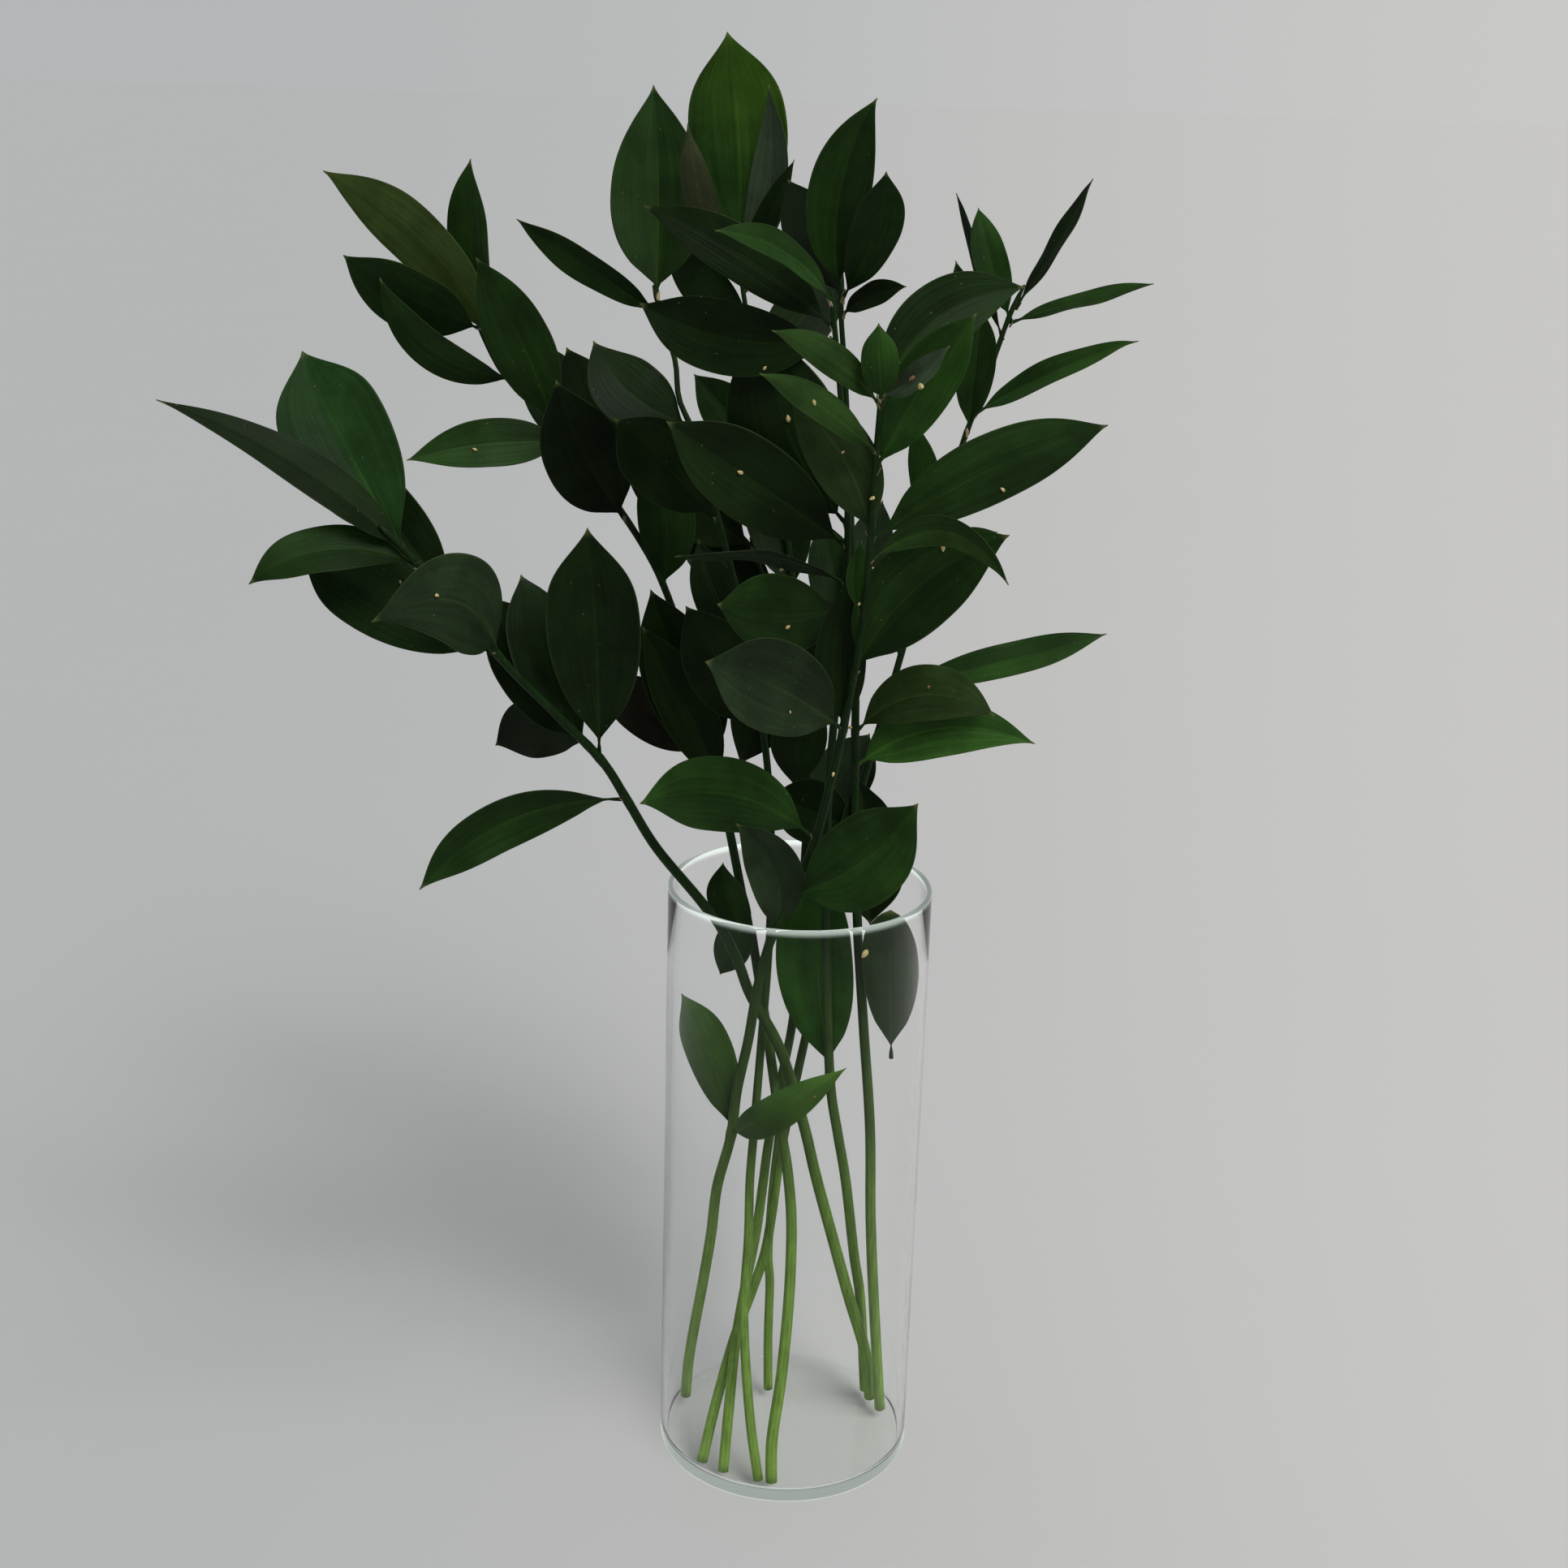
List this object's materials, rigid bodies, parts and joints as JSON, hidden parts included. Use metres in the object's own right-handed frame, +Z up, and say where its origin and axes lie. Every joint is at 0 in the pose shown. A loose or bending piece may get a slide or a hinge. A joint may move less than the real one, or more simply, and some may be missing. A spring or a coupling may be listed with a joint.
{
  "type": "ruscus stems in glass vase",
  "caption": "Bunch of cut leafy ruscus stems standing in a tall clear glass cylinder vase, for decoration.",
  "frame": {"origin": "centre of the vase's base, on the surface it stands on", "axes": "+Z up along the vase's axis, +X to the right as seen from the front, +Y towards the back"},
  "size_m": [0.3438, 0.2133, 0.5458],
  "materials": {
    "glass": "polished clear",
    "leafy_green": "waxy satin",
    "faded_green": "satin"
  },
  "bodies": {
    "root": {"vase": "glass", "stem_front": "leafy_green", "stem_left": "leafy_green", "stem_upper_left": "leafy_green", "stem_middle_left": "leafy_green", "stem_top": "leafy_green", "stem_middle": "leafy_green", "stem_top_right": "leafy_green", "stem_right": "leafy_green", "stem_back": "leafy_green", "loose_leaf": "faded_green"}
  },
  "joints": []
}
